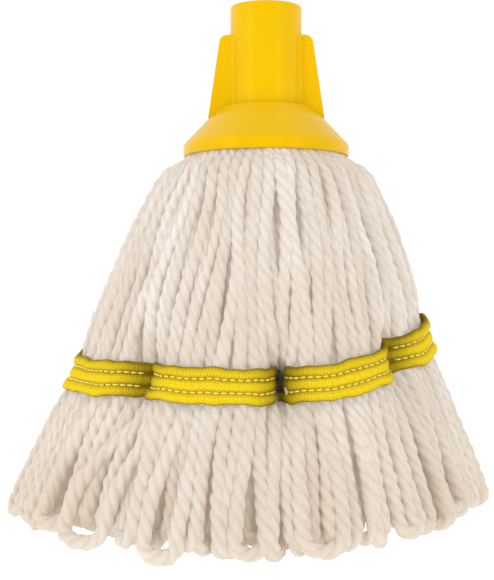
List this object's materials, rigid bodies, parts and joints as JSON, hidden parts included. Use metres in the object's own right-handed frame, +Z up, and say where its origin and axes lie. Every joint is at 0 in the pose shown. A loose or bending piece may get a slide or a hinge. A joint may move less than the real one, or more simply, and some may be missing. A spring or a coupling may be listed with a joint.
{
  "type": "string mop head",
  "caption": "String mop head: looped twisted cotton yarn hanging from a yellow moulded handle socket with two side wings, tied together by a yellow stitched tail band.",
  "frame": {"origin": "middle of the handle seat, the floor of the handle bore in the socket", "axes": "+Z up along the handle bore, out of its mouth; +X to the right and -Y to the front; the wings lie along X"},
  "size_m": [0.2125, 0.18, 0.229],
  "materials": {
    "socket_plastic": "semi-gloss moulded polypropylene",
    "plug_plastic": "matte moulded",
    "zinc_steel": "zinc plated",
    "head_tape": "woven tape",
    "cotton_yarn": "soft twisted cotton blend, fuzzy",
    "tail_band": "ribbed woven tape",
    "stitch_thread": "polyester sewing thread"
  },
  "bodies": {
    "socket": {"socket_shell": "socket_plastic", "retaining_plug": "plug_plastic", "plug_washer": "zinc_steel", "plug_screw": "zinc_steel", "head_tape": "head_tape", "yarn_neck_core": "cotton_yarn", "yarn_neck_1": "cotton_yarn", "yarn_neck_2": "cotton_yarn", "yarn_neck_3": "cotton_yarn", "yarn_neck_4": "cotton_yarn", "yarn_neck_5": "cotton_yarn", "yarn_neck_6": "cotton_yarn", "yarn_neck_7": "cotton_yarn", "yarn_neck_8": "cotton_yarn"},
    "yarn_collar": {"yarn_collar_core": "cotton_yarn", "yarn_collar_1": "cotton_yarn", "yarn_collar_2": "cotton_yarn", "yarn_collar_3": "cotton_yarn", "yarn_collar_4": "cotton_yarn", "yarn_collar_5": "cotton_yarn", "yarn_collar_6": "cotton_yarn", "yarn_collar_7": "cotton_yarn", "yarn_collar_8": "cotton_yarn"},
    "yarn_skirt": {"yarn_skirt_core": "cotton_yarn", "yarn_clump_1": "cotton_yarn", "yarn_clump_2": "cotton_yarn", "yarn_clump_3": "cotton_yarn", "yarn_clump_4": "cotton_yarn", "yarn_clump_5": "cotton_yarn", "yarn_clump_6": "cotton_yarn", "yarn_clump_7": "cotton_yarn", "yarn_clump_8": "cotton_yarn", "tail_band": "tail_band", "stitch_row_upper": "stitch_thread", "stitch_row_lower": "stitch_thread"}
  },
  "joints": [
    {"name": "side_swing", "type": "hinge", "parent": "socket", "child": "yarn_collar", "pos_m": [0, 0, -0.023], "axis": [0, 1, 0], "range_deg": [-25, 25]},
    {"name": "front_swing", "type": "hinge", "parent": "yarn_collar", "child": "yarn_skirt", "pos_m": [0, 0, -0.023], "axis": [1, 0, 0], "range_deg": [-25, 25]}
  ]
}
